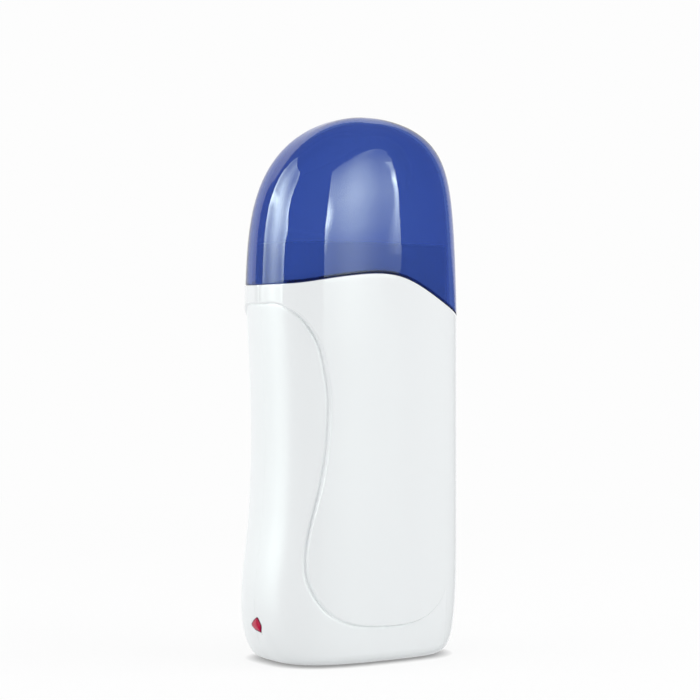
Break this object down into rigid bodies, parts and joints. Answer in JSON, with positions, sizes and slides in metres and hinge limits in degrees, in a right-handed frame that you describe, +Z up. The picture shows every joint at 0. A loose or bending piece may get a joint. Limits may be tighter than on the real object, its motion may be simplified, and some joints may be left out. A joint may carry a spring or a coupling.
{
  "type": "roll-on wax heater",
  "caption": "Upright hand-held wax cartridge heater with a waisted side grip, an S-shaped grip edge, a drop-shaped lamp and a clear blue lift-off dome cap.",
  "frame": {"origin": "on the surface the heater stands on, under the middle of its bounding box", "axes": "+Z up; the front panel faces -Y; the waisted narrow side with the lamp faces -X; the inlet is at the rear, +Y"},
  "size_m": [0.0824, 0.052, 0.2],
  "materials": {
    "housing_white": "polished moulding",
    "cap_blue": "clear tinted plastic, polished",
    "neck_white": "satin moulding",
    "liner_white": "heat-resistant moulding",
    "plate_aluminium": "rolled sheet",
    "film_amber": "polyimide film",
    "strip_brass": "rolled strip",
    "tablet_grey": "sintered ceramic",
    "spring_steel": "spring strip",
    "fuse_metal": "drawn case with tinned leads",
    "sleeve_white": "glass-fibre sleeve",
    "inlet_black": "moulded",
    "pin_plated": "nickel plated",
    "lens_red": "clear tinted plastic, polished",
    "lamp_glass": "drawn glass",
    "board_tan": "laminate",
    "resistor_body": "coated",
    "wire_brown": "insulated",
    "wire_blue": "insulated",
    "screw_steel": "zinc plated"
  },
  "bodies": {
    "housing": {"front_shell": "housing_white", "rear_shell": "housing_white", "neck_collar": "neck_white", "chamber_liner": "liner_white", "heater_plate": "plate_aluminium", "insulating_film": "film_amber", "inner_electrode": "strip_brass", "outer_electrode": "strip_brass", "ptc_tablets": "tablet_grey", "heater_clip": "spring_steel", "cartridge_spring": "spring_steel", "thermal_fuse": "fuse_metal", "fuse_sleeve": "sleeve_white", "crimp_terminals": "strip_brass", "inlet_housing": "inlet_black", "inlet_pins": "pin_plated", "lamp_lens": "lens_red", "neon_lamp": "lamp_glass", "lamp_board": "board_tan", "lamp_resistor": "resistor_body", "live_wire": "wire_brown", "neutral_wire": "wire_blue", "lamp_live_wire": "wire_brown", "lamp_neutral_wire": "wire_blue", "shell_screws": "screw_steel"},
    "cap": {"cap": "cap_blue"}
  },
  "joints": [
    {"name": "cap_lift", "type": "slide", "parent": "housing", "child": "cap", "axis": [0, 0, 1], "range_m": [0, 0.09]}
  ]
}
